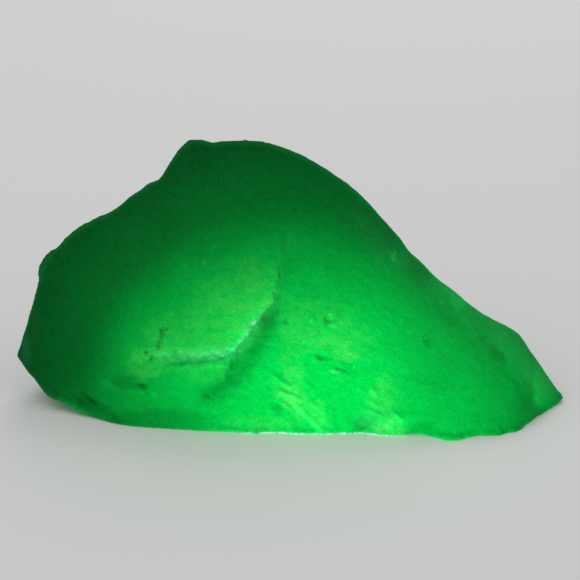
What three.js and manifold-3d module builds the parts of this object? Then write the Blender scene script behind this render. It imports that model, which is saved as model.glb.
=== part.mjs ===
// A broken lump of slag glass, standing on its flat fracture. Millimetres, +Z up.
// The front of the lump faces -Y, the pointed end is at +X, and z is 0 on the face that it rests on.
import * as THREE from "three";
import { ParametricGeometry } from "three/addons/geometries/ParametricGeometry.js";
import { mergeVertices } from "three/addons/utils/BufferGeometryUtils.js";
import Module from "manifold-3d";

const wasm = await Module();
wasm.setup();

// Where the front, the back and the base meet at the two ends: [x, y, z].
const BLUNT_END = [-55.4, -2.0, 8.6];
const POINTED_END = [55.5, -5.0, 0.5];

// The sharp edge along the top, where the front and the back meet, without its chips: [x, y, z].
const CREST_RUN = [
  BLUNT_END,
  [-53.8, -1.0, 13.4],
  [-52.2, 0.4, 19.0],
  [-50.0, 1.6, 26.6],
  [-43.0, 3.6, 33.4],
  [-35.0, 5.4, 38.2],
  [-26.0, 6.8, 44.4],
  [-20.0, 7.6, 49.4],
  [-12.0, 8.0, 51.0],
  [-3.0, 8.0, 50.2],
  [10.0, 7.2, 43.4],
  [20.0, 6.0, 33.8],
  [29.0, 4.4, 24.0],
  [40.0, 1.6, 16.0],
  [45.0, 0.0, 13.6],
  [50.0, -2.2, 8.2],
  POINTED_END,
];
// Its nubs and notches: [x, half width, rise].
const CREST_CHIPS = [
  [-53.1, 0.9, -0.9],
  [-51.9, 0.9, 1.3],
  [-50.2, 1.3, 1.3],
  [-47.0, 2.4, -0.8],
  [-43.2, 3.0, 0.5],
  [-35.5, 4.0, -0.6],
  [-29.6, 2.0, -0.3],
  [-26.4, 2.0, -0.9],
  [-23.4, 2.2, 0.8],
  [-20.2, 4.2, 2.15],
  [15.0, 6.0, 0.5],
  [24.8, 2.6, -0.4],
  [33.5, 4.0, 0.4],
  [46.6, 2.2, 0.6],
];

// The front's lower edge without its chips: [x, y, z]. It leaves the table at the blunt left end.
const FOOT_RUN = [
  BLUNT_END,
  [-50.5, -8.0, 4.4],
  [-44.0, -12.4, 1.7],
  [-36.0, -17.0, 0.0],
  [-28.0, -20.0, 0.0],
  [-10.0, -22.2, 0.0],
  [10.0, -23.2, 0.0],
  [30.0, -25.0, 0.0],
  [40.0, -23.6, 0.0],
  [46.0, -18.8, 0.0],
  [51.0, -11.4, 0.0],
  POINTED_END,
];
// Where it stands forward and where it is chipped away: [x, half width, forward].
const FOOT_CHIPS = [
  [-51.4, 1.4, -0.8],
  [-48.2, 2.0, 1.0],
  [-38.4, 4.0, -0.6],
  [-24.0, 9.0, -0.5],
  [-7.6, 2.8, 1.0],
  [1.5, 3.0, 0.6],
  [5.6, 3.0, 0.7],
  [13.8, 3.0, -0.8],
  [25.0, 3.2, -1.8],
  [31.4, 3.8, 2.0],
  [36.6, 2.4, -0.7],
  [41.4, 1.6, 1.1],
  [44.6, 2.0, 1.8],
  [48.8, 1.6, -0.7],
];

// The back's lower edge: [x, y, z].
const BACK_FOOT = [
  BLUNT_END,
  [-53.0, 4.0, 6.5],
  [-49.0, 10.0, 4.0],
  [-43.0, 16.0, 1.0],
  [-36.0, 20.0, 0.0],
  [-22.0, 24.5, 0.0],
  [-8.0, 25.5, 0.0],
  [6.0, 23.0, 0.0],
  [20.0, 20.0, 0.0],
  [34.0, 14.0, 0.0],
  [45.0, 6.0, 0.0],
  [52.0, -1.0, 0.0],
  POINTED_END,
];

// How fast the chips of an edge die out over a face: a power of the share of the way to that edge.
const CHIP_FADE = 14;

// How full the front and the back stand between foot and crest: [x, front, back], 0 straight and 1 round.
const FULLNESS = [
  [-55.4, 0.5, 0.3],
  [-36.0, 1.0, 0.5],
  [-10.0, 0.95, 0.6],
  [15.0, 0.85, 0.6],
  [35.0, 0.95, 0.5],
  [44.0, 1.15, 0.45],
  [55.5, 1.0, 0.4],
];

// The low arris where the front meets the bevel along the top of the pointed end: [x, share, lift], where
// share is how far up the front it runs and lift is how far it stands out.
const ARRIS = [
  [-55.4, 0.8, 0.0],
  [20.0, 0.86, 0.0],
  [31.0, 0.94, 0.0],
  [35.3, 0.9, 0.4],
  [38.1, 0.81, 0.8],
  [42.9, 0.7, 1.1],
  [46.0, 0.54, 1.1],
  [49.8, 0.36, 0.7],
  [55.5, 0.25, 0.0],
];

// Broad swells and hollows of the front: [x, z, height, half width, half height].
const SWELLS = [
  [-17.0, 20.0, 1.6, 15.0, 12.0],
  [14.0, 9.0, 2.4, 16.0, 11.0],
  [2.5, 31.0, -1.3, 4.5, 8.0],
  [-1.0, 22.0, -1.6, 4.5, 7.0],
  [-7.5, 13.0, -1.4, 4.5, 6.0],
  [-24.0, 36.0, -1.0, 5.0, 8.0],
  [-38.0, 15.0, -1.2, 8.0, 10.0],
];

// Plates that stand proud of the front, one over the other. Each has an outline [x, z] that is a broken
// step where the plate is raised, and a swell [x, z, height, half width, half height] that it fades out by.
const PLATE_SINK = 0.3;
const LEFT_LOBE = {
  outline: [
    [4.5, 44.0], [2.6, 39.5], [0.4, 37.2], [-1.1, 35.2], [-0.9, 33.0], [-2.4, 30.6], [-2.1, 28.4],
    [-3.3, 26.2], [-3.0, 24.4], [-4.6, 23.2], [-5.2, 21.2], [-7.0, 20.2], [-7.4, 18.6], [-9.6, 17.9],
    [-10.3, 16.2], [-12.0, 16.9], [-13.6, 16.0], [-15.4, 16.5], [-17.6, 15.6], [-19.2, 15.8],
    [-21.4, 14.5], [-24.0, 14.3], [-25.6, 13.0], [-28.4, 12.6], [-31.0, 11.0], [-37.0, 12.0],
    [-38.0, 22.0], [-34.0, 33.0], [-24.0, 41.0], [-8.0, 45.0],
  ],
  swell: [-12.0, 23.0, 2.1, 16.0, 14.0],
};
const LOWER_STEP = {
  outline: [
    [-9.0, 18.0], [-10.6, 15.4], [-11.4, 13.6], [-12.2, 12.2], [-12.5, 10.6], [-14.0, 9.6],
    [-15.0, 8.0], [-17.2, 7.2], [-19.8, 6.9], [-23.0, 7.6], [-26.5, 7.4], [-29.5, 8.4],
    [-32.0, 8.0], [-33.0, 18.0],
  ],
  swell: [-17.5, 13.0, 1.4, 10.5, 7.5],
};

// Hollows struck out of the lump. Each follows an egg: at is the point [x, y, z] on the face, from is the
// side that the blow came from, along is the way that the egg points, radii are its half length, half width
// and half height, and depth is how far it goes in.
const STRIKES = [
  {
    at: [-21.0, 17.2, 24.0],
    from: [-0.24, 0.93, 0.28],
    along: [0.3, 0.0, 0.9],
    radii: [110, 90, 90],
    depth: 3.0,
  },
  {
    at: [15.0, 16.5, 12.0],
    from: [0.34, 0.88, 0.32],
    along: [0.9, 0.0, -0.6],
    radii: [120, 62, 80],
    depth: 2.5,
  },
  {
    at: [-46.0, 9.6, 13.0],
    from: [-0.74, 0.64, 0.2],
    along: [0.1, 0.2, 1.0],
    radii: [60, 44, 44],
    depth: 2.6,
  },
  {
    at: [-6.0, 23.0, 5.0],
    from: [0.02, 0.96, -0.26],
    along: [1.0, 0.0, 0.2],
    radii: [90, 42, 50],
    depth: 2.4,
  },
  {
    at: [39.0, 8.4, 5.0],
    from: [0.56, 0.74, 0.36],
    along: [0.7, -0.6, -0.3],
    radii: [80, 40, 44],
    depth: 1.4,
  },
];

// Burst bubbles, pits and one short crack in the front.
const PITS = [
  {
    at: [7.8, -16.0, 21.4],
    from: [0.1, -0.78, 0.62],
    along: [1, 0, 0],
    radii: [1.4, 1.3, 1.4],
    depth: 0.8,
  },
  {
    at: [6.2, -20.4, 15.3],
    from: [-0.03, -0.88, 0.47],
    along: [1, 0, -0.3],
    radii: [1.8, 1.0, 1.2],
    depth: 0.8,
  },
  {
    at: [9.6, -21.4, 13.1],
    from: [0.02, -0.89, 0.46],
    along: [1, 0, -0.4],
    radii: [1.5, 0.9, 1.0],
    depth: 0.5,
  },
  {
    at: [-24.9, -17.7, 18.3],
    from: [-0.38, -0.87, 0.31],
    along: [0.4, 0.1, 1],
    radii: [2.7, 0.4, 1.1],
    depth: 0.9,
  },
  {
    at: [-28.8, -18.6, 8.7],
    from: [-0.35, -0.91, 0.19],
    along: [1, -0.4, 0],
    radii: [1.3, 0.6, 0.8],
    depth: 0.6,
  },
];

const STATIONS = 76;
const FRONT_STEPS = 24;
const ARRIS_STEP = 18;
const BACK_STEPS = 13;
const BASE_STEPS = 4;

// A smooth line through rows of [x, ...values], read at x.
function through(rows) {
  const width = rows[0].length - 1;
  const line = new THREE.CubicInterpolant(
    rows.map((row) => row[0]),
    rows.flatMap((row) => row.slice(1)),
    width,
    new Float32Array(width),
  );
  return (x) => line.evaluate(x);
}

// How far the chips of an edge move it at x. Each is a smooth hump, 0 at its half width.
function chipsAt(chips, x) {
  return chips.reduce((sum, [middle, reach, size]) => {
    const off = (x - middle) / reach;
    return sum + size * Math.max(0, 1 - off * off) ** 2;
  }, 0);
}

const crestRunAt = through(CREST_RUN);
const footRunAt = through(FOOT_RUN);
const backFootAt = through(BACK_FOOT);
const fullnessAt = through(FULLNESS);
const arrisAt = through(ARRIS);

const LEFT = BLUNT_END[0];
const RIGHT = POINTED_END[0];

// The crest's y and z at x, with its chips.
function crestAt(x) {
  const [y, z] = crestRunAt(x);
  return [y, z + chipsAt(CREST_CHIPS, x)];
}

// The front foot's y and z at x, with its chips.
function frontFootAt(x) {
  const [y, z] = footRunAt(x);
  return [y - chipsAt(FOOT_CHIPS, x), z];
}

// A point on the front or back, t of the way from a foot to the crest.
function facePoint(x, t, foot, footRun, full) {
  const rise = (1 - full) * t + full * t * t;
  const crest = crestAt(x);
  const crestRun = crestRunAt(x);
  const nearCrest = t ** CHIP_FADE;
  const nearFoot = (1 - t) ** CHIP_FADE;
  const along = (axis, share) =>
    THREE.MathUtils.lerp(footRun[axis], crestRun[axis], share) +
    (crest[axis] - crestRun[axis]) * nearCrest +
    (foot[axis] - footRun[axis]) * nearFoot;
  return new THREE.Vector3(x, along(0, rise), along(1, t));
}

// The height of one rounded swell at (x, z).
function swellAt([centreX, centreZ, height, wide, tall], x, z) {
  return height * Math.exp(-(((x - centreX) / wide) ** 2) - ((z - centreZ) / tall) ** 2);
}

// A closed skin over upright sections, one at each station along X. raise(x, z) lifts the front forward.
function skin(raise) {
  const steps = FRONT_STEPS + BACK_STEPS + BASE_STEPS;
  const point = (u, v, target) => {
    const x = (LEFT + RIGHT) / 2 - ((RIGHT - LEFT) / 2) * Math.cos(Math.PI * v);
    const frontFoot = frontFootAt(x);
    const backFoot = backFootAt(x);
    const [frontFull, backFull] = fullnessAt(x);
    const step = Math.round((1 - u) * steps);
    if (step <= FRONT_STEPS) {
      const [share, lift] = arrisAt(x);
      const below = Math.min(1, step / ARRIS_STEP);
      const above = Math.max(0, (step - ARRIS_STEP) / (FRONT_STEPS - ARRIS_STEP));
      const t = share * below + (1 - share) * above;
      target.copy(facePoint(x, t, frontFoot, footRunAt(x), frontFull));
      const stand = lift * Math.min(below ** 3, 1 - above);
      target.y -= 0.5 * stand;
      target.z += 0.85 * stand;
      const fromEdges = Math.min(1, 4 * t * (1 - t)) * Math.min(1, (x - LEFT) / 10, (RIGHT - x) / 10);
      const swollen = SWELLS.reduce((sum, swell) => sum + swellAt(swell, target.x, target.z), 0);
      target.y -= fromEdges * (swollen + raise(target.x, target.z));
    } else if (step <= FRONT_STEPS + BACK_STEPS) {
      const t = 1 - (step - FRONT_STEPS) / BACK_STEPS;
      target.copy(facePoint(x, t, backFoot, backFoot, backFull));
    } else {
      const t = (step - FRONT_STEPS - BACK_STEPS) / BASE_STEPS;
      target.set(
        x,
        THREE.MathUtils.lerp(backFoot[0], frontFoot[0], t),
        THREE.MathUtils.lerp(backFoot[1], frontFoot[1], t),
      );
    }
    target.z = Math.max(0, target.z);
  };
  return new ParametricGeometry(point, steps, STATIONS);
}

// A closed geometry as a solid that can be cut and joined.
function solidOf(geometry) {
  geometry.deleteAttribute("normal");
  geometry.deleteAttribute("uv");
  const merged = mergeVertices(geometry, 1e-3);
  const corners = merged.index.array;
  const kept = [];
  for (let i = 0; i < corners.length; i += 3) {
    const [a, b, c] = corners.subarray(i, i + 3);
    if (a !== b && b !== c && c !== a) kept.push(a, b, c);
  }
  return new wasm.Manifold(
    new wasm.Mesh({
      numProp: 3,
      vertProperties: merged.attributes.position.array,
      triVerts: new Uint32Array(kept),
    }),
  );
}

function geometryOf(solid) {
  const mesh = solid.getMesh();
  return new THREE.BufferGeometry()
    .setAttribute("position", new THREE.BufferAttribute(mesh.vertProperties, 3))
    .setIndex(new THREE.BufferAttribute(mesh.triVerts, 1));
}

// The part of a raised front that lies inside a plate's outline.
function plate({ outline, swell }) {
  const raised = solidOf(skin((x, z) => swellAt(swell, x, z) - PLATE_SINK));
  const shape = new THREE.Shape(outline.map(([x, z]) => new THREE.Vector2(x, z)));
  const prism = new THREE.ExtrudeGeometry(shape, { depth: 40, bevelEnabled: false });
  return raised.intersect(solidOf(prism.rotateX(Math.PI / 2)));
}

// The egg that a hollow follows.
function egg({ at, from, along, radii, depth }) {
  const [long, wide, high] = radii;
  const out = new THREE.Vector3(...from).normalize();
  const across = new THREE.Vector3(...along).cross(out).normalize();
  const lengthwise = out.clone().cross(across);
  const centre = new THREE.Vector3(...at).addScaledVector(out, high - depth);
  const place = new THREE.Matrix4()
    .makeBasis(across, lengthwise, out)
    .scale(new THREE.Vector3(wide, long, high))
    .setPosition(centre);
  const facets = Math.max(14, 2 * Math.round(long * 0.8));
  return solidOf(new THREE.SphereGeometry(1, facets, facets / 2).applyMatrix4(place));
}

const blank = solidOf(skin(() => 0));
const broken = blank.add(plate(LEFT_LOBE)).add(plate(LOWER_STEP));
const hollows = [...STRIKES, ...PITS];
const lump = hollows.reduce((solid, hollow) => solid.subtract(egg(hollow)), broken);

const glass = new THREE.MeshStandardMaterial({ color: 0x00a03c, roughness: 0.35, metalness: 0 });
const chunk = new THREE.Mesh(geometryOf(lump), glass);
chunk.name = "glass_chunk";

// The origin is on the table, under the middle of the lump.
const box = new THREE.Box3().setFromObject(chunk);
const middle = box.getCenter(new THREE.Vector3());
chunk.geometry.translate(-middle.x, -middle.y, -box.min.z);

const part = new THREE.Group();
part.add(chunk);
export default part;
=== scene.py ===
"""One broken lump of cloudy green slag glass, standing on its flat fracture. Lengths are in millimetres
until they reach Blender, which takes metres.

The front of the lump faces -Y, and its pointed end is at +X. Under ultraviolet light such glass glows
green from within, most where the light falls: low on the front. The finish paints that light in as emission:
painted light in place of an ultraviolet lamp, strongest low on the front.
"""

import math

import bpy
import numpy as np
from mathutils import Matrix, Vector, noise


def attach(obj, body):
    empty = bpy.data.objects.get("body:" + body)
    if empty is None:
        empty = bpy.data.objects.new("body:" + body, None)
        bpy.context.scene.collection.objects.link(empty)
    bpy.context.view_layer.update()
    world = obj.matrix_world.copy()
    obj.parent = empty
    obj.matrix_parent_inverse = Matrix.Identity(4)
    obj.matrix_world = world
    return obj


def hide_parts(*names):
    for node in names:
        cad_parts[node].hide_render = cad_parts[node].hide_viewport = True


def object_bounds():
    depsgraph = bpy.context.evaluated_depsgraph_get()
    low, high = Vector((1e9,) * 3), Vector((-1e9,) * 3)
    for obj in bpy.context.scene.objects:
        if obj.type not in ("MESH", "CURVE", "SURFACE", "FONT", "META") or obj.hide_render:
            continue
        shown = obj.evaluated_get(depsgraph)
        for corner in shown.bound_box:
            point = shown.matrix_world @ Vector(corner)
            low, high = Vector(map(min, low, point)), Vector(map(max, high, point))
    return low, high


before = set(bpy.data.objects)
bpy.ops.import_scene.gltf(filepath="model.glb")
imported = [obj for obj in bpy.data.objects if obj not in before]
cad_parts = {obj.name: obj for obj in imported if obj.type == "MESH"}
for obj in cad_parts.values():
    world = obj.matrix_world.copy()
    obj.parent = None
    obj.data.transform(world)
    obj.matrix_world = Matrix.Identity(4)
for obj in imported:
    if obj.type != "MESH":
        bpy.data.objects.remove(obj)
CAD_LOW, CAD_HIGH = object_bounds()

MM = 0.001
FRONT = CAD_LOW.y / MM

# The front's marks. Places are [x, z] as seen from straight ahead.

# The raised left lobe ends in a rough edge on the right, and in a ragged step below.
RIDGE = [
    [1.6, 38], [-0.3, 35.2], [-1.9, 31], [-2.7, 27.5], [-3.0, 24.4], [-4.6, 23.4], [-5.9, 22], [-6.9, 21.3],
    [-7.8, 19.9], [-9.6, 17.7], [-11, 15.7], [-11.4, 13.6], [-12.4, 11.4], [-13.4, 9.6], [-16.5, 7.2],
]
STEP = [[-9.8, 17.2], [-11.5, 16], [-14, 15.4], [-17.7, 15.1], [-20.5, 15.2], [-24, 14.8], [-29, 13]]
VALLEY = [[-4.6, 20.5], [-5.6, 18.4], [-7.3, 16.1], [-8.5, 13.8], [-9.6, 11.8], [-11.4, 10.2], [-15.9, 7.4]]
CRACK = [[-24.0, 20.2], [-24.5, 19.7], [-24.9, 19.2], [-25.1, 18.2], [-25.2, 17.3], [-25.7, 16.2]]
STEP_FOOT = [[-12, 15.0], [-14.5, 14.4], [-18, 14.2], [-19.5, 14.0], [-22.5, 13.5]]

# Pits: [x, z, half width, half height, turn, depth]. A turn is anticlockwise, in degrees.
PITS = [
    [4.4, 21.7, 0.6, 0.5, 0, 0.25],
    [5.4, 19.1, 0.45, 0.4, 0, 0.2],
    [-0.7, 20.6, 0.5, 0.6, -30, 0.25],
    [5.7, 14.7, 0.7, 0.35, -25, 0.25],
    [7.3, 14.6, 0.4, 0.35, -20, 0.2],
    [9.2, 12.9, 0.4, 0.4, -20, 0.25],
    [10.7, 12.5, 0.6, 0.35, -25, 0.2],
    [-11.0, 13.0, 0.7, 0.6, 40, 0.4],
    [-16.1, 7.4, 0.6, 0.4, 0, 0.3],
    [-28.0, 14.9, 0.45, 0.4, 0, 0.35],
    [-27.0, 14.1, 0.4, 0.6, -20, 0.35],
    [-24.8, 19.4, 0.8, 0.55, 45, 0.4],
    [-25.7, 16.3, 0.5, 0.4, 0, 0.35],
    [-22.3, 16.0, 0.3, 0.6, 0, 0.3],
    [-28.8, 8.3, 0.8, 0.5, -10, 0.35],
    [27.0, 15.7, 1.1, 0.5, -50, 0.35],
    [40.6, 12.2, 0.6, 1.2, 50, 0.2],
    [42.4, 11.2, 1.0, 0.4, -40, 0.2],
    [38.6, 14.1, 1.2, 0.4, -42, 0.16],
    [27.5, 21.0, 0.5, 0.8, 0, 0.25],
    [13.9, 1.3, 0.9, 0.5, 0, 0.18],
    [-39.1, 3.9, 1.3, 0.5, -20, 0.3],
    [-40.8, 4.8, 0.9, 0.4, -20, 0.3],
    [-42.0, 3.2, 1.2, 0.5, -30, 0.3],
]

# Streaks that run down to the right, each [half width, height] and then its line.
STREAKS = [
    [0.55, 0.28, [0.9, 6.2], [3.0, 4.3], [4.6, 2.5], [6.2, 1.0]],
    [0.45, 0.3, [-1.9, 8.4], [0.2, 7.6], [2.0, 6.9]],
    [0.45, 0.25, [-3.6, 7.0], [-0.9, 5.9], [0.6, 5.0]],
    [0.45, 0.25, [-3.0, 11.2], [-1.6, 10.2], [0.2, 9.4]],
    [0.4, 0.25, [15.2, 7.0], [17.2, 6.0]],
    [0.4, 0.25, [15.4, 5.2], [17.9, 4.2]],
    [0.4, 0.25, [16.0, 9.2], [17.2, 7.8]],
    [0.4, 0.25, [19.8, 5.2], [21.8, 3.4]],
    [0.35, 0.09, [-21.9, 12.7], [-19.3, 13.4]],
    [0.35, 0.09, [-16.9, 13.2], [-14.5, 13.7], [-12.9, 13.3]],
    [0.35, -0.16, [7.6, 22.2], [7.1, 21.3], [7.2, 20.3], [8.0, 19.6], [9.2, 19.7], [9.7, 20.4]],
    [0.9, -0.3, [-2.9, 6.2], [-1.8, 4.6]],
    [1.6, -0.35, [12.8, 3.4], [15.0, 1.4]],
    [0.9, -0.15, [38, 14.8], [41.1, 12.2], [43.6, 9.8], [45.5, 7.3], [47.4, 4.6]],
]

# Modelling


def select_only(piece):
    bpy.ops.object.select_all(action="DESELECT")
    piece.select_set(True)
    bpy.context.view_layer.objects.active = piece


def add_modifier(piece, kind, **settings):
    """Adds a modifier, sets it and applies it."""
    select_only(piece)
    modifier = piece.modifiers.new(kind.title(), kind)
    for key, value in settings.items():
        setattr(modifier, key, value)
    bpy.ops.object.modifier_apply(modifier=modifier.name)


def copy_of_node(name, new_name):
    """A merged copy of a CAD node, as a piece of its own."""
    piece = bpy.data.objects.new(new_name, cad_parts[name].data.copy())
    bpy.context.scene.collection.objects.link(piece)
    piece.data.materials.clear()
    select_only(piece)
    bpy.ops.object.mode_set(mode="EDIT")
    bpy.ops.mesh.select_all(action="SELECT")
    bpy.ops.mesh.remove_doubles(threshold=0.01 * MM)
    bpy.ops.mesh.normals_make_consistent(inside=False)
    bpy.ops.object.mode_set(mode="OBJECT")
    return piece


def places(piece):
    """The piece's points, in millimetres, and their normals, as rows of x, y, z."""
    mesh = piece.data
    points = np.empty(len(mesh.vertices) * 3)
    normals = np.empty(len(mesh.vertices) * 3)
    mesh.vertices.foreach_get("co", points)
    mesh.vertex_normals.foreach_get("vector", normals)
    return points.reshape(-1, 3) / MM, normals.reshape(-1, 3)


def averaged(piece, values, rounds):
    """Rows of values, one row a point, each mixed with its neighbours' rows again and again."""
    edges = np.empty(len(piece.data.edges) * 2, dtype=np.int64)
    piece.data.edges.foreach_get("vertices", edges)
    one, other = edges.reshape(-1, 2).T
    count = len(values)
    ties = np.bincount(one, minlength=count) + np.bincount(other, minlength=count)
    mixed = values.copy()
    for _ in range(rounds):
        for axis in range(mixed.shape[1]):
            column = mixed[:, axis]
            total = np.bincount(one, column[other], count) + np.bincount(other, column[one], count)
            mixed[:, axis] = 0.5 * column + 0.5 * total / ties
    return mixed


def group_of(piece, weights):
    group = piece.vertex_groups.new(name="weights")
    for index in np.flatnonzero(weights > 0.002):
        group.add([int(index)], float(min(1, weights[index])), "REPLACE")
    return group.name


def push(piece, height, weights, texture=None, marker=None):
    """Moves the surface out by height mm times each point's weight, and times a texture's pattern if given."""
    settings = dict(vertex_group=group_of(piece, weights), strength=height * MM, mid_level=0.0)
    if texture:
        settings.update(texture=texture, mid_level=0.5, texture_coords="LOCAL")
    if marker:
        settings.update(texture_coords="OBJECT", texture_coords_object=marker)
    add_modifier(piece, "DISPLACE", **settings)
    piece.vertex_groups.clear()


def lumpy(size, depth=2):
    """A cloudy pattern with lumps about size mm across."""
    texture = bpy.data.textures.new("lumps", "CLOUDS")
    texture.noise_scale = size * MM
    texture.noise_depth = depth
    return texture


def marker_at(place, turn=(0, 0, 0), stretch=(1, 1, 1)):
    """An empty whose own axes a texture follows. It's removed once the texture has been used."""
    bpy.ops.object.empty_add(location=[v * MM for v in place], rotation=[math.radians(v) for v in turn])
    marker = bpy.context.object
    marker.scale = stretch
    bpy.context.view_layer.update()
    return marker


# Shapes on the front


def smoothstep(low, high, value):
    share = np.clip((value - low) / (high - low), 0, 1)
    return share * share * (3 - 2 * share)


def facing_front(normals):
    return smoothstep(0.02, 0.25, -normals[:, 1])


def wander(points, size, reach):
    """The points' [x, z], moved up to reach mm by noise, so that marks laid out with them get ragged edges."""
    drift = [noise.turbulence_vector(Vector(point) / size, 3, False) for point in points]
    return points[:, [0, 2]] + reach * np.array(drift)[:, :2]


def oval(at, x, z, wide, tall, turn=0):
    """1 in the middle of an oval, falling to 0 at its edge."""
    angle = math.radians(turn)
    across, up = at[:, 0] - x, at[:, 1] - z
    along = across * math.cos(angle) + up * math.sin(angle)
    beside = up * math.cos(angle) - across * math.sin(angle)
    return np.clip(1 - (along / wide) ** 2 - (beside / tall) ** 2, 0, 1)


def beside_line(at, line):
    """How far each place lies from a line, positive on the left of its way, and how far along it."""
    nearest, side, way = np.full(len(at), 1e9), np.ones(len(at)), np.zeros(len(at))
    for step, (start, end) in enumerate(zip(np.array(line[:-1], float), np.array(line[1:], float))):
        run = end - start
        share = np.clip((at - start) @ run / (run @ run), 0, 1)
        off = at - start - share[:, None] * run
        gap = np.linalg.norm(off, axis=1)
        closer = gap < nearest
        nearest[closer] = gap[closer]
        side[closer] = np.sign(off[:, 1] * run[0] - off[:, 0] * run[1])[closer]
        way[closer] = ((step + share) / (len(line) - 1))[closer]
    return nearest * side, way


def on_line(at, line, reach):
    """1 on a line, falling to 0 at reach mm to either side."""
    gap, _ = beside_line(at, line)
    return smoothstep(reach, 0, np.abs(gap))


# The lump


def soften_edges(piece, sharp):
    """Evens out the steps that the voxels leave along the sharp edges."""
    group = group_of(piece, sharp)
    add_modifier(piece, "SMOOTH", factor=0.5, iterations=6, vertex_group=group)
    piece.vertex_groups.clear()
    push(piece, 0.3, sharpness(piece))


def sharpness(piece):
    """1 along sharp edges and 0 on even ground."""
    _, normals = places(piece)
    return smoothstep(0.965, 0.8, np.linalg.norm(averaged(piece, normals, 30), axis=1))


def ripples(points, strike, spacing, start, end):
    """Rings round the place of a blow, uneven in strength, as glass shows where it broke."""
    away = np.linalg.norm(points - np.array(strike), axis=1)
    drift = np.array([noise.noise(Vector(point) / 14) for point in points])
    waves = 0.5 + 0.5 * np.sin((away + 3 * drift) * 2 * math.pi / spacing)
    return waves * smoothstep(start, start + 6, away) * smoothstep(end, end - 12, away) * (0.6 + drift)


def sculpt(piece):
    """The broken surface: soft swells, ripples, the rough ridge, streaks, pits and the crack."""
    add_modifier(piece, "REMESH", mode="VOXEL", voxel_size=0.34 * MM, adaptivity=0.0)
    add_modifier(piece, "SMOOTH", factor=0.5, iterations=4)
    soften_edges(piece, sharpness(piece))
    points, normals = places(piece)
    free = smoothstep(0.3, 3, points[:, 2]) * (1 - sharpness(piece)) * smoothstep(0.99, 0.8, -normals[:, 2])
    front = facing_front(normals)
    back = free * (1 - front)

    push(piece, 0.9, oval(points[:, [0, 2]], -49.6, 27.2, 4.0, 3.4))
    push(piece, 0.45, free, lumpy(8.0))
    push(piece, 0.12, free, lumpy(1.6, 3))
    push(piece, 0.5, back * ripples(points, (-30, 30, 46), 3.6, 8, 44))
    push(piece, 0.45, back * ripples(points, (34, 26, 30), 3.0, 6, 36))
    push(piece, 0.16, front * free * ripples(points, (2, 0, 60), 3.2, 12, 30))
    push(piece, 0.18, front * free * ripples(points, (62, -34, 22), 2.6, 8, 40))

    at = wander(points, 1.6, 0.35)
    gap, way = beside_line(at, RIDGE)
    drop = np.interp(way, [0, 0.22, 0.42, 0.6, 0.85, 1], [0.0, 0.1, 0.9, 0.8, 0.7, 0.1])
    reach = np.interp(way, [0, 0.3, 0.5, 1], [2.0, 4.0, 5.0, 3.5])
    lip = np.interp(way, [0, 0.3, 0.4, 0.5, 0.75], [1.6, 1.6, 0.9, 0.8, 2.0])
    push(piece, -1.0, front * drop * smoothstep(0, lip, gap) * smoothstep(reach, lip, gap))
    rough = smoothstep(-2.2, 0, gap) * smoothstep(1.0, 0.2, gap) * np.interp(way, [0.1, 0.4, 0.75, 0.9], [0, 1, 0.7, 0])
    rough = np.maximum(rough, on_line(at, STEP, 1.4) * 0.8)
    push(piece, 0.8, front * rough, lumpy(0.8, 3))

    hackle = np.maximum(oval(at, 1, 6, 12, 7, -35), oval(at, 17, 5.5, 8, 6, -35))
    marker = marker_at((0, 0, 0), turn=(0, 38, 0), stretch=(6.0, 1.0, 1.0))
    push(piece, 0.4, front * hackle, lumpy(1.0), marker)
    bpy.data.objects.remove(marker)
    mottled = oval(at, 2, 14, 30, 16)
    push(piece, 0.2, front * mottled * free, lumpy(0.9, 2))

    at = wander(points, 0.7, 0.22)
    for lift in (1, -1):
        lines = [row[1] * lift * on_line(at, row[2:], row[0] * 1.6) for row in STREAKS]
        push(piece, lift * 0.5, front * np.max(lines, axis=0).clip(0) / 0.5)
    holes = np.max([row[5] * oval(at, *row[:5]) ** 0.6 for row in PITS], axis=0)
    push(piece, -0.4, front * np.maximum(holes, 0.4 * on_line(at, CRACK, 0.55)) / 0.6)
    foot = smoothstep(2.2, 0.8, points[:, 2]) * smoothstep(0.05, 0.5, points[:, 2])
    push(piece, 0.5, front * foot, lumpy(0.9, 3))
    add_modifier(piece, "SMOOTH", factor=0.3, iterations=1)
    thin_out(piece)
    keep_in_box(piece)


def thin_out(piece):
    """Fewer faces on the base and the back, where the surface is plainer."""
    _, normals = places(piece)
    plain = np.maximum(smoothstep(0.9, 0.99, -normals[:, 2]), 0.5 * smoothstep(0.1, 0.4, normals[:, 1]))
    group = group_of(piece, plain)
    add_modifier(piece, "DECIMATE", ratio=0.6, vertex_group=group, vertex_group_factor=1.0)
    piece.vertex_groups.clear()


def keep_in_box(piece):
    """No point may leave the CAD model's box."""
    points, _ = places(piece)
    points = np.clip(points * MM, np.array(CAD_LOW), np.array(CAD_HIGH))
    piece.data.vertices.foreach_set("co", points.ravel())
    piece.data.update()


# Marks that the finish reads, one number a point; most of them paint light and shade into the glow. Soft ovals: [x, z,
# half width, half height, turn, strength].

# Painted shade in the glow: the shadow right of the ridge, the darker left end and right tip, and darker patches along
# the bottom. A few ovals are the stain and the dark specks round the pits.
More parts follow.
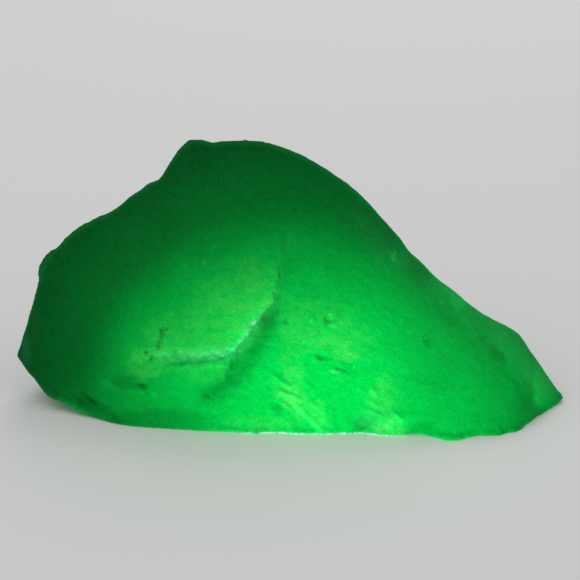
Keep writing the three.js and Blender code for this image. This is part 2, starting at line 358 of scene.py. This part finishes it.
PAINTED_SHADE_AND_STAINS = [
    [-4.1, 21.8, 3.2, 2.3, 50, 0.28],
    [-48, 13, 12, 14, 0, 0.17],
    [-51, 6, 8, 8, 0, 0.14],
    [24, 7, 9, 6, 0, 0.08],
    [-31.5, 8.6, 4.4, 1.8, 6, 0.26],
    [7.1, 21.0, 0.8, 1.6, 0, 0.15],
    [6.3, 14.6, 2.4, 1.0, -22, 0.14],
    [10.6, 12.6, 3.2, 1.4, -22, 0.12],
    [46.6, 5.0, 2.6, 4.5, 35, 0.12],
    [45.0, 2.6, 3.5, 1.8, 10, 0.1],
    [41.5, 12.0, 2.4, 1.0, -42, 0.16],
    [26, 13, 11, 5, -30, 0.1],
    [-39.4, 3.8, 1.6, 0.9, -15, 0.3],
    [-41.3, 3.4, 1.0, 0.5, -30, 0.3],
    [20.7, 31.4, 1.6, 3.4, 45, 0.2],
    [26.5, 24.6, 6.0, 1.8, -38, 0.15],
    [31.5, 18.6, 5.0, 1.6, -40, 0.12],
    [-2.3, 5.2, 1.5, 1.3, -30, 0.2],
    [14.2, 2.2, 2.2, 1.6, 0, 0.28],
    [-25, 1.6, 14, 3.2, 4, 0.3],
    [-38, 2.0, 6, 2.4, -20, 0.35],
    [25.5, 1.4, 4.5, 2.2, 0, 0.25],
]
# Painted shade along the top crest, in the valley, beside the ridge and under the step.
PAINTED_SHADE_LINES = [
    [7.0, 0.2, [-43, 9.5], [-34, 26], [-24, 35], [-9.7, 39.5], [4.4, 40.5], [17, 34.5]],
    [3.6, 0.4, *VALLEY],
    [2.2, 0.13, [-0.4, 30], [-1.3, 27.5], [-1.7, 25.4], [-2.8, 23.4]],
    [0.7, 0.14, [-24.1, 13.2], [-20.3, 13.9], [-17.4, 14.1]],
]
# Painted light in the glow: brighter patches, the lit right tip and small glints.
PAINTED_LIGHT_PATCHES = [
    [-30, 18, 10, 10, 0, 0.12],
    [52.5, 3.2, 6.0, 4.2, -45, 1.0],
    [20.8, 29.3, 0.9, 0.8, 0, 0.4],
    [21.0, 2.4, 4.5, 2.2, 0, 0.25],
    [5.9, 2.0, 4.0, 1.8, -20, 0.12],
    [-53.2, 10.6, 1.2, 3.4, 5, 0.5],
    [-28.7, 7.0, 0.6, 0.4, 0, 0.3],
    [-26.7, 6.8, 0.9, 0.6, 0, 0.2],
    [-35.8, 7.5, 2.0, 1.0, -20, 0.2],
    [34.0, 19.8, 2.6, 1.2, -40, 0.3],
    [8.3, 12.4, 0.8, 0.5, 0, 0.3],
    [12.5, 13.1, 0.4, 0.4, 0, 0.6],
    [4.0, 20.8, 0.4, 0.5, 0, 0.5],
    [27.5, 21.2, 0.6, 1.0, 0, 0.3],
]
# Painted light along the right crest, the lower left rim and the lit sides of the streaks.
PAINTED_LIGHT_LINES = [
    [4.5, 0.55, [30.5, 23], [34, 20.5], [41, 16.5], [47, 11], [51.5, 5]],
    [1.2, 0.5, [-46, 2.4], [-41, 1.3], [-36, 0.9]],
    [1.0, 0.2, [0.9, 6.2], [3.0, 4.3], [4.6, 2.5], [6.2, 1.0]],
    [0.8, 0.14, [-1.9, 8.4], [0.2, 7.6], [2.0, 6.9]],
    [0.8, 0.12, [-21.9, 12.7], [-19.3, 13.4]],
    [0.8, 0.12, [-16.9, 13.2], [-14.5, 13.7], [-12.9, 13.3]],
]
# A yellower haze in the painted glow, which also lifts its brightness a little; strongest on the left lobe.
PAINTED_GLOW_HAZE = [
    [-12, 23, 13, 8.5, 32, 0.75],
    [-7, 28, 5, 6.5, 60, 0.6],
    [-26.5, 13.5, 8, 3.6, 24, 0.75],
    [-23, 18.5, 7, 5, 20, 0.6],
    [1.5, 20, 4.5, 4.5, 0, 0.5],
    [6.5, 22, 8, 3.0, -12, 0.35],
    [11, 19.5, 7, 3.0, -25, 0.4],
    [8.5, 16.6, 8, 2.4, -14, 0.75],
    [2.0, 16.4, 4, 3, 0, 0.3],
    [0.1, 11.6, 3, 4.6, 0, 0.5],
    [1.6, 6.6, 8, 3, -38, 0.8],
    [-6, 1.8, 9, 2.2, 0, 0.45],
    [18.4, 1.6, 5, 2.2, 0, 1.0],
    [18.0, 7.5, 3.8, 4.6, 0, 0.55],
    [-16, 12.4, 6, 3, 0, 0.3],
]
# Painted glints and pale highlights on the ridge, under the step, along the right crest and at the ends.
PAINTED_GLINTS = [
    [-13.1, 15.4, 0.5, 0.45, 0, 0.9],
    [-17.9, 15.0, 0.4, 0.35, 0, 0.6],
    [-6.9, 21.3, 0.7, 0.6, 40, 0.8],
    [-0.4, 34.6, 0.7, 2.6, -15, 0.15],
    [-16.7, 31.4, 0.35, 0.35, 0, 0.6],
    [4.7, 42.0, 0.35, 0.35, 0, 0.5],
    [30.7, 20.0, 0.4, 0.4, 0, 0.8],
    [20.8, 29.3, 1.0, 0.7, -30, 0.25],
    [17, 33, 2.5, 6, 35, 0.12],
    [8.8, 12.4, 0.7, 0.5, -20, 0.5],
    [-53.6, 10.5, 1.6, 4.4, 5, 0.25],
    [17, 3, 6, 3, 0, 0.12],
]
PAINTED_GLINT_LINES = [
    [3.2, 0.12, [13, 37], [21.5, 29.5], [33, 21.5], [41, 17], [47, 11.5], [52, 4.5]],
    [2.2, 0.4, [-10.4, 16.1], [-14, 15.6], [-17.7, 15.3], [-21.5, 15.1]],
    [1.8, 0.22, [-21.5, 15.1], [-25, 14.5]],
    [0.9, 0.3, [-5.6, 22.4], [-7.8, 20], [-9.6, 17.9], [-10.8, 16.1]],
]
# Painted shade in the crack, along the step's foot and beside the ridge, where the glow darkens.
PAINTED_PIT_SHADE_LINES = [
    [0.8, 1.0, *CRACK],
    [0.6, 0.6, *STEP_FOOT],
    [0.5, 0.4, [-6.4, 21.2], [-7.9, 19.2], [-9.7, 17.1], [-11.2, 15.2], [-11.8, 13.2]],
]
RELIEF_LIGHT = Vector((-0.45, -0.72, -0.52)).normalized()


def write_mark(piece, name, values):
    mark = piece.data.attributes.new(name, "FLOAT", "POINT")
    mark.data.foreach_set("value", np.clip(values, 0, 1).astype(np.float32))


def strongest(at, ovals, lines=()):
    found = [row[5] * smoothstep(0, 0.9, oval(at, *row[:5])) for row in ovals]
    found += [row[1] * on_line(at, row[2:], row[0]) for row in lines]
    return found


def mark_finish(piece):
    points, normals = places(piece)
    front = smoothstep(-0.25, 0.05, -normals[:, 1])
    at = wander(points, 1.5, 0.4)
    gap, way = beside_line(at, RIDGE)
    below, _ = beside_line(at, STEP)
    lobe = np.maximum(
        smoothstep(-6, 0, gap) * smoothstep(0.3, -0.3, gap) * np.interp(way, [0.1, 0.3, 0.65, 0.75], [0, 1, 1, 0]),
        smoothstep(-5, 0, below) * smoothstep(0.3, -0.3, below) * (np.abs(below) < 6),
    )
    # The glow mark: painted shade where it is darker, painted light where it is lighter.
    painted_glow = np.full(len(points), 0.5)
    for shade in strongest(at, PAINTED_SHADE_AND_STAINS, PAINTED_SHADE_LINES):
        painted_glow *= 1 - shade * front
    for shine in strongest(at, PAINTED_LIGHT_PATCHES, PAINTED_LIGHT_LINES):
        painted_glow *= 1 + shine * front
    # Painted relief shading: slopes turned towards RELIEF_LIGHT glow more and slopes turned away glow less; the raised
    # lobe gets painted light too.
    bent = normals - averaged(piece, normals, 60)
    painted_relief_shade = bent @ np.array(RELIEF_LIGHT)
    painted_glow *= 1 + 0.16 * lobe * front + np.clip(1.0 * painted_relief_shade, -0.35, 0.35)
    write_mark(piece, "painted_glow", painted_glow)

    # A painted highlight along the bottom rim of the front.
    painted_rim_light = front * smoothstep(0.55, 0.2, points[:, 2]) * smoothstep(-16, -6, points[:, 0])
    painted_rim_light *= smoothstep(28, 22, points[:, 0])
    drifted = wander(points, 3.5, 1.6)
    painted_haze_share = np.max([row[5] * oval(drifted, *row[:5]) for row in PAINTED_GLOW_HAZE], axis=0)
    write_mark(piece, "painted_glow_haze", front * np.maximum(painted_haze_share, 0.9 * lobe))
    # The glint mark: painted glints and highlights, with the painted light along the bottom rim.
    write_mark(piece, "painted_glint", np.maximum(front * np.max(strongest(at, PAINTED_GLINTS, PAINTED_GLINT_LINES), axis=0), painted_rim_light))
    at = wander(points, 0.7, 0.22)
    # Painted shade in the pits, the crack and the step's foot.
    painted_pit_shade = [2.6 * row[5] * oval(at, *row[:2], 1.4 * row[2], 1.4 * row[3], row[4]) for row in PITS]
    painted_pit_shade += [row[1] * on_line(at, row[2:], row[0]) for row in PAINTED_PIT_SHADE_LINES]
    write_mark(piece, "painted_pit_shade", front * np.max(painted_pit_shade, axis=0))
    # Painted light along sharp edges: it adds to the glow and whitens it.
    write_mark(piece, "edge", sharpness(piece) * smoothstep(1, 3, points[:, 2]))
    write_mark(piece, "polish", smoothstep(0.15, 0.45, normals[:, 1]))


# Finish


class Wire:
    """An output of a shader node. Sums on wires and numbers add the Math nodes that work them out."""

    def __init__(self, tree, socket):
        self.tree = tree
        self.socket = socket

    def node(self, kind, settings=None, **inputs):
        """Adds a node: its settings first, then its sockets' values or links, by name or i0, i1 and so on."""
        made = self.tree.nodes.new(kind)
        for key, value in (settings or {}).items():
            setattr(made, key, value)
        for key, value in inputs.items():
            number = key[1:]
            socket = made.inputs[int(number) if number.isdigit() else key.replace("_", " ")]
            if isinstance(value, Wire):
                self.tree.links.new(value.socket, socket)
            else:
                socket.default_value = value
        return made

    def out(self, made, name=0):
        return Wire(self.tree, made.outputs[name])

    def sum(self, operation, *values, clamp=False):
        inputs = {f"i{place}": value for place, value in enumerate(values)}
        settings = {"operation": operation, "use_clamp": clamp}
        return self.out(self.node("ShaderNodeMath", settings, **inputs))

    def __add__(self, other):
        return self.sum("ADD", self, other)

    def __radd__(self, other):
        return self.sum("ADD", other, self)

    def __sub__(self, other):
        return self.sum("SUBTRACT", self, other)

    def __rsub__(self, other):
        return self.sum("SUBTRACT", other, self)

    def __mul__(self, other):
        return self.sum("MULTIPLY", self, other)

    def __rmul__(self, other):
        return self.sum("MULTIPLY", other, self)

    def __truediv__(self, other):
        return self.sum("DIVIDE", self, other)

    def __pow__(self, other):
        return self.sum("POWER", self, other)

    def __rpow__(self, other):
        return self.sum("POWER", other, self)

    def clamped(self):
        return self.sum("ADD", self, 0.0, clamp=True)

    def noise(self, size, detail=3.0, rough=0.5, twist=0.0):
        """Noise about size mm across on a place wire, from about -0.2 to 0.2."""
        made = self.node(
            "ShaderNodeTexNoise",
            {"noise_dimensions": "3D"},
            Vector=self,
            Scale=1 / (size * MM),
            Detail=detail,
            Roughness=rough,
            Distortion=twist,
        )
        return self.out(made, "Fac") - 0.5

    def vector(self, operation, *values, result="Vector"):
        inputs = {f"i{place}": value for place, value in enumerate(values)}
        return self.out(self.node("ShaderNodeVectorMath", {"operation": operation}, **inputs), result)

    def turned(self, turn, stretch):
        """A place wire turned and stretched, for streaks."""
        made = self.node(
            "ShaderNodeMapping",
            {"vector_type": "TEXTURE"},
            Vector=self,
            Rotation=[math.radians(v) for v in turn],
            Scale=stretch,
        )
        return self.out(made)

    def mixed(self, other, share):
        """A colour wire mixed with another colour."""
        made = self.node("ShaderNodeMix", {"data_type": "RGBA"}, i0=share, i6=self, i7=other)
        return self.out(made, 2)


# The painted glow, emission that stands in for the ultraviolet lamp's light, is strongest round this place, just ahead
# of the front, and fades over these lengths.
PAINTED_GLOW_PLACE = (6.1 * MM, (FRONT - 5.5) * MM, 9.3 * MM)
PAINTED_GLOW_REACH = (37.5 * MM, 30.0 * MM, 30.0 * MM)


def colour(red, green, blue):
    return (red, green, blue, 1.0)


# The glass's finish. Its emission is painted light: the green glow stands in for an ultraviolet lamp's light.
def glass_with_painted_glow():
    material = bpy.data.materials.new("cloudy_green_glass")
    material.use_nodes = True
    tree = material.node_tree
    shader = tree.nodes["Principled BSDF"]
    start = Wire(tree, None)
    place = start.out(start.node("ShaderNodeTexCoord"), "Object")
    painted_glow_mark, painted_glow_haze, painted_glint, painted_pit_shade, edge, polish = (
        start.out(start.node("ShaderNodeAttribute", {"attribute_name": name}), "Fac")
        for name in ("painted_glow", "painted_glow_haze", "painted_glint", "painted_pit_shade", "edge", "polish")
    )

    clouds = place.noise(7.0, 3.0, 0.5, 0.5)
    mottle = place.noise(1.5, 4.0, 0.6, 0.4)
    grain = place.noise(0.32, 2.0, 0.7)
    streaks = place.turned((0, 38, 0), (6, 1, 1)).noise(1.0, 3.0, 0.6)
    fleck = place.noise(0.6, 3.0, 0.75)
    wisps = place.turned((0, -24, 0), (3, 1, 1)).noise(1.7, 4.0, 0.65)

    # A painted pool of light: the emission is brightest round that place and fades away from it.
    away = start.vector("DIVIDE", start.vector("SUBTRACT", place, PAINTED_GLOW_PLACE), PAINTED_GLOW_REACH)
    far = start.vector("DOT_PRODUCT", away, away, result="Value")
    painted_glow = math.e ** (0.0 - far) * 0.86
    cloudy = 1 + clouds * 0.25 + mottle * 0.3 + grain * 0.9 + streaks * painted_glow * 0.25
    # Painted shade darkens the glow in pits and cracks, and painted light is added along sharp edges.
    painted_pit_shade = (painted_pit_shade * (0.55 + fleck * 4)).clamped()
    painted_glow = (painted_glow + 0.02) * painted_glow_mark * 2 * cloudy * (1 + painted_glow_haze * 0.14) * (1 - painted_pit_shade * 0.72) + edge * 0.015

    # Green where it glows, yellower in the haze, and whiter where glints and highlights are painted.
    painted_haze_share = (painted_glow_haze * (0.6 + wisps * 2.5 + mottle)).clamped()
    # Painted glints and highlights, and painted light along sharp edges, whiten the glow.
    painted_glint_share = (painted_glint * (1 + mottle * 3 + grain * 2) + edge * 0.15).clamped()
    tint = start.node("ShaderNodeRGB")
    tint.outputs[0].default_value = colour(0.0, 1.0, 0.105)
    tint = start.out(tint).mixed(colour(0.08, 1.0, 0.12), painted_haze_share)
    tint = tint.mixed(colour(0.10, 0.95, 0.36), painted_glint_share)
    tint = tint.mixed(colour(0.55, 1.1, 0.75), ((painted_glint_share - 0.6) * 2.5).clamped())
    made = start.node("ShaderNodeCombineXYZ", X=painted_glow, Y=painted_glow, Z=painted_glow)
    painted_glow_colour = start.vector("MULTIPLY", tint, start.out(made))

    body = start.node("ShaderNodeRGB")
    body.outputs[0].default_value = colour(0.0004, 0.028, 0.005)
    base = start.out(body).mixed(colour(0.001, 0.045, 0.010), (0.5 + mottle * 1.5 + grain * 3).clamped())
    # Painted glints and highlights lighten the base colour too.
    base = base.mixed(colour(0.02, 0.08, 0.05), painted_glint_share * 0.5)

    dull = 0.56 + mottle * 0.35 + grain * 0.2
    bump = start.node(
        "ShaderNodeBump", Height=grain + mottle * 0.6 + streaks * 0.5, Strength=0.3, Distance=0.15 * MM
    )
    for name, wire in (
        ("Base Color", base),
        ("Roughness", dull),
        ("Emission Color", painted_glow_colour),
        ("Coat Weight", polish * 0.6),
    ):
        tree.links.new(wire.socket, shader.inputs[name])
    tree.links.new(bump.outputs[0], shader.inputs["Normal"])
    shader.inputs["IOR"].default_value = 1.5
    shader.inputs["Specular IOR Level"].default_value = 0.02
    shader.inputs["Coat Roughness"].default_value = 0.12
    shader.inputs["Emission Strength"].default_value = 1.0
    return material


lump = copy_of_node("glass_chunk", "glass_lump")
sculpt(lump)
mark_finish(lump)
lump.data.materials.append(glass_with_painted_glow())
select_only(lump)
bpy.ops.object.shade_smooth()
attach(lump, "root")
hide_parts("glass_chunk")

# Floor, light and camera


def pale_floor():
    bpy.ops.mesh.primitive_plane_add(size=8.0, location=(0, 0, 0))
    floor = bpy.context.object
    floor.name = "floor"
    material = bpy.data.materials.new("pale_floor")
    material.use_nodes = True
    shader = material.node_tree.nodes["Principled BSDF"]
    shader.inputs["Base Color"].default_value = colour(0.72, 0.72, 0.71)
    shader.inputs["Roughness"].default_value = 0.9
    shader.inputs["Specular IOR Level"].default_value = 0.1
    floor.data.materials.append(material)
    return floor


def soft_light(name, place, size, power):
    lamp = bpy.data.lights.new(name, "AREA")
    lamp.energy = power
    lamp.size = size
    holder = bpy.data.objects.new(name, lamp)
    holder.location = place
    holder.rotation_mode = "QUATERNION"
    holder.rotation_quaternion = (Vector((0, 0, 0.02)) - Vector(place)).to_track_quat("-Z", "Y")
    bpy.context.scene.collection.objects.link(holder)


pale_floor()
soft_light("key", (-0.5, -0.35, 0.75), 0.9, 2.6)
soft_light("fill", (0.6, -0.5, 0.5), 0.9, 1.2)
soft_light("back", (0.1, 0.7, 0.6), 0.6, 2.0)

world = bpy.data.worlds.new("studio")
bpy.context.scene.world = world
world.use_nodes = True
world.node_tree.nodes["Background"].inputs["Color"].default_value = colour(0.9, 0.92, 0.92)
world.node_tree.nodes["Background"].inputs["Strength"].default_value = 0.5
bpy.context.scene.view_settings.view_transform = "Standard"

CAMERA_RISE = math.radians(18)
CAMERA_AWAY = 439.4 * MM
AIM = Vector((0, (FRONT + 26.8) * MM, 22 * MM))

camera = bpy.data.cameras.new("camera")
camera.lens = 135
camera.sensor_width = 36
camera_holder = bpy.data.objects.new("camera", camera)
bpy.context.scene.collection.objects.link(camera_holder)
bpy.context.scene.camera = camera_holder
towards = Vector((0, -math.cos(CAMERA_RISE), math.sin(CAMERA_RISE)))
camera_holder.location = AIM + towards * CAMERA_AWAY
camera_holder.rotation_mode = "QUATERNION"
camera_holder.rotation_quaternion = (-towards).to_track_quat("-Z", "Y")
